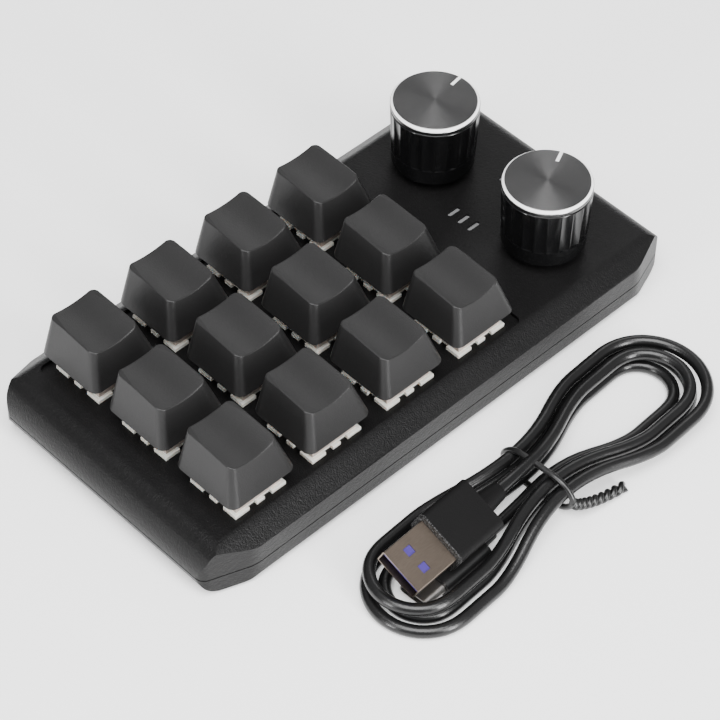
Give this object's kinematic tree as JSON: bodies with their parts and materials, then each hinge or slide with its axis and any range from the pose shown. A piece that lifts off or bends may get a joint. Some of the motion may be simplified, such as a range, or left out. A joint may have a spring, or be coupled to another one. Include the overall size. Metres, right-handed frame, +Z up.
{
  "type": "macro keypad with knobs",
  "caption": "Low desktop macro keypad with a block of sprung square keys, push-and-turn knobs and a bundled USB lead beside it.",
  "frame": {"origin": "on the table under the middle of the case, with the lead left out", "axes": "+X from the keys to the knobs, +Y to the back edge with the socket, +Z up"},
  "size_m": [0.1542, 0.1223, 0.0371],
  "materials": {
    "case_plastic": "fine satin grain",
    "board": "solder mask",
    "screw_steel": "zinc plated",
    "foot_rubber": "matte",
    "socket_steel": "stamped",
    "lens": "frosted",
    "keycap_plastic": "fine matte grain",
    "stem_plastic": "moulded",
    "switch_cover": "milky",
    "switch_base": "moulded",
    "spring_steel": "wire",
    "encoder_metal": "plated",
    "rotor_plastic": "moulded",
    "shaft_metal": "turned",
    "knob_plastic": "gloss",
    "knob_metal": "spun, dark anodised",
    "cable_jacket": "satin jacket",
    "tie_wire": "coated wire",
    "plug_grip": "satin",
    "plug_steel": "satin plated",
    "plug_tongue": "violet",
    "small_plug": "satin"
  },
  "bodies": {
    "case": {"top_shell": "case_plastic", "bottom_shell": "case_plastic", "circuit_board": "board", "case_screws": "screw_steel", "rubber_feet": "foot_rubber", "usb_socket": "socket_steel", "indicator_lenses": "lens", "switch_cover_front_1": "switch_cover", "switch_cover_front_2": "switch_cover", "switch_cover_front_3": "switch_cover", "switch_cover_front_4": "switch_cover", "switch_cover_middle_1": "switch_cover", "switch_cover_middle_2": "switch_cover", "switch_cover_middle_3": "switch_cover", "switch_cover_middle_4": "switch_cover", "switch_cover_back_1": "switch_cover", "switch_cover_back_2": "switch_cover", "switch_cover_back_3": "switch_cover", "switch_cover_back_4": "switch_cover", "switch_bases": "switch_base", "key_springs": "spring_steel", "encoder_bases": "encoder_metal", "cable_hank": "cable_jacket", "cable_tie": "tie_wire", "usb_plug_grip": "plug_grip", "usb_plug_shell": "plug_steel", "usb_plug_tongue": "plug_tongue", "device_plug": "small_plug"},
    "key_front_1": {"keycap_front_1": "keycap_plastic", "key_stem_front_1": "stem_plastic"},
    "key_front_2": {"keycap_front_2": "keycap_plastic", "key_stem_front_2": "stem_plastic"},
    "key_front_3": {"keycap_front_3": "keycap_plastic", "key_stem_front_3": "stem_plastic"},
    "key_front_4": {"keycap_front_4": "keycap_plastic", "key_stem_front_4": "stem_plastic"},
    "key_middle_1": {"keycap_middle_1": "keycap_plastic", "key_stem_middle_1": "stem_plastic"},
    "key_middle_2": {"keycap_middle_2": "keycap_plastic", "key_stem_middle_2": "stem_plastic"},
    "key_middle_3": {"keycap_middle_3": "keycap_plastic", "key_stem_middle_3": "stem_plastic"},
    "key_middle_4": {"keycap_middle_4": "keycap_plastic", "key_stem_middle_4": "stem_plastic"},
    "key_back_1": {"keycap_back_1": "keycap_plastic", "key_stem_back_1": "stem_plastic"},
    "key_back_2": {"keycap_back_2": "keycap_plastic", "key_stem_back_2": "stem_plastic"},
    "key_back_3": {"keycap_back_3": "keycap_plastic", "key_stem_back_3": "stem_plastic"},
    "key_back_4": {"keycap_back_4": "keycap_plastic", "key_stem_back_4": "stem_plastic"},
    "rotor_back": {"encoder_rotor_back": "rotor_plastic"},
    "knob_back": {"knob_shaft_back": "shaft_metal", "knob_body_back": "knob_plastic", "knob_cap_back": "knob_metal"},
    "rotor_front": {"encoder_rotor_front": "rotor_plastic"},
    "knob_front": {"knob_shaft_front": "shaft_metal", "knob_body_front": "knob_plastic", "knob_cap_front": "knob_metal"}
  },
  "joints": [
    {"name": "press_key_front_1", "type": "slide", "parent": "case", "child": "key_front_1", "axis": [0, 0, -1], "range_m": [0, 0.004], "stiffness_N_per_m": 60, "springref_m": -0.006, "deforming": ["key_springs"]},
    {"name": "press_key_front_2", "type": "slide", "parent": "case", "child": "key_front_2", "axis": [0, 0, -1], "range_m": [0, 0.004], "stiffness_N_per_m": 60, "springref_m": -0.006, "deforming": ["key_springs"]},
    {"name": "press_key_front_3", "type": "slide", "parent": "case", "child": "key_front_3", "axis": [0, 0, -1], "range_m": [0, 0.004], "stiffness_N_per_m": 60, "springref_m": -0.006, "deforming": ["key_springs"]},
    {"name": "press_key_front_4", "type": "slide", "parent": "case", "child": "key_front_4", "axis": [0, 0, -1], "range_m": [0, 0.004], "stiffness_N_per_m": 60, "springref_m": -0.006, "deforming": ["key_springs"]},
    {"name": "press_key_middle_1", "type": "slide", "parent": "case", "child": "key_middle_1", "axis": [0, 0, -1], "range_m": [0, 0.004], "stiffness_N_per_m": 60, "springref_m": -0.006, "deforming": ["key_springs"]},
    {"name": "press_key_middle_2", "type": "slide", "parent": "case", "child": "key_middle_2", "axis": [0, 0, -1], "range_m": [0, 0.004], "stiffness_N_per_m": 60, "springref_m": -0.006, "deforming": ["key_springs"]},
    {"name": "press_key_middle_3", "type": "slide", "parent": "case", "child": "key_middle_3", "axis": [0, 0, -1], "range_m": [0, 0.004], "stiffness_N_per_m": 60, "springref_m": -0.006, "deforming": ["key_springs"]},
    {"name": "press_key_middle_4", "type": "slide", "parent": "case", "child": "key_middle_4", "axis": [0, 0, -1], "range_m": [0, 0.004], "stiffness_N_per_m": 60, "springref_m": -0.006, "deforming": ["key_springs"]},
    {"name": "press_key_back_1", "type": "slide", "parent": "case", "child": "key_back_1", "axis": [0, 0, -1], "range_m": [0, 0.004], "stiffness_N_per_m": 60, "springref_m": -0.006, "deforming": ["key_springs"]},
    {"name": "press_key_back_2", "type": "slide", "parent": "case", "child": "key_back_2", "axis": [0, 0, -1], "range_m": [0, 0.004], "stiffness_N_per_m": 60, "springref_m": -0.006, "deforming": ["key_springs"]},
    {"name": "press_key_back_3", "type": "slide", "parent": "case", "child": "key_back_3", "axis": [0, 0, -1], "range_m": [0, 0.004], "stiffness_N_per_m": 60, "springref_m": -0.006, "deforming": ["key_springs"]},
    {"name": "press_key_back_4", "type": "slide", "parent": "case", "child": "key_back_4", "axis": [0, 0, -1], "range_m": [0, 0.004], "stiffness_N_per_m": 60, "springref_m": -0.006, "deforming": ["key_springs"]},
    {"name": "turn_knob_back", "type": "hinge", "parent": "case", "child": "rotor_back", "pos_m": [0.0507, 0.0194, 0.0103], "axis": [0, 0, 1], "continuous": true},
    {"name": "push_knob_back", "type": "slide", "parent": "rotor_back", "child": "knob_back", "axis": [0, 0, -1], "range_m": [0, 0.0005], "stiffness_N_per_m": 2000, "springref_m": -0.0012},
    {"name": "turn_knob_front", "type": "hinge", "parent": "case", "child": "rotor_front", "pos_m": [0.0507, -0.0194, 0.0103], "axis": [0, 0, 1], "continuous": true},
    {"name": "push_knob_front", "type": "slide", "parent": "rotor_front", "child": "knob_front", "axis": [0, 0, -1], "range_m": [0, 0.0005], "stiffness_N_per_m": 2000, "springref_m": -0.0012}
  ]
}
